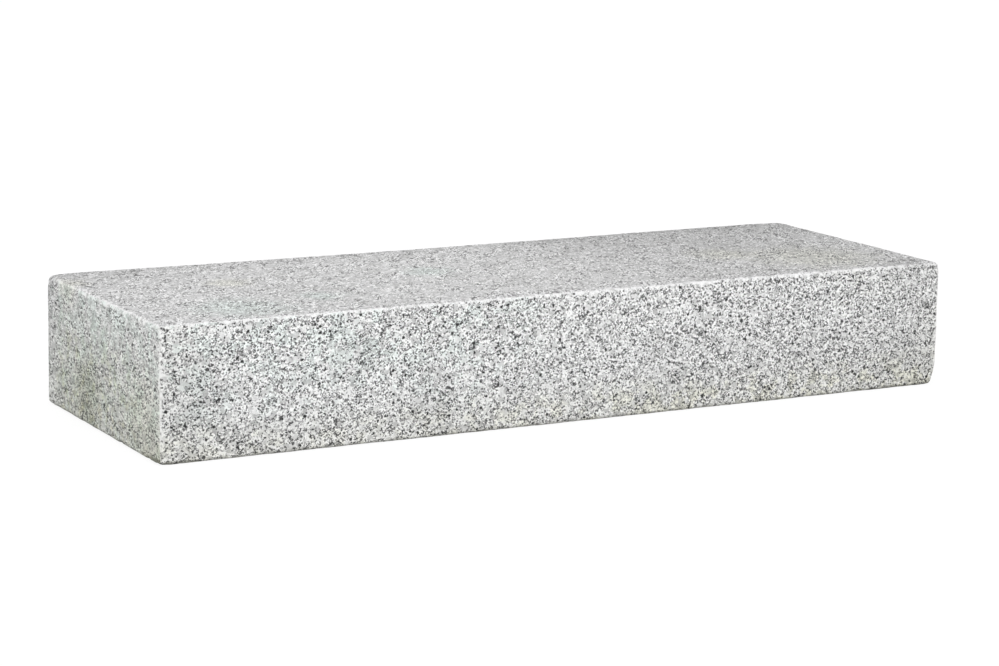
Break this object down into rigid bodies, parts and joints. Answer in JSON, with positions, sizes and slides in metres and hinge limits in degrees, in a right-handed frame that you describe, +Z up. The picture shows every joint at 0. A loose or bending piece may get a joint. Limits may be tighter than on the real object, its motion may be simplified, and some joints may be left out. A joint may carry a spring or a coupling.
{
  "type": "granite step",
  "caption": "Solid granite block step with eased arrises and a worn foot corner, laid on its bed to make one tread and riser.",
  "frame": {"origin": "on the bed, under the middle of the stone", "axes": "+X along the step to its right end as seen from the face, -Y is the face (the riser), +Z is up to the tread"},
  "size_m": [1, 0.35, 0.15],
  "materials": {
    "granite": "matte"
  },
  "bodies": {
    "root": {"step_block": "granite"}
  },
  "joints": []
}
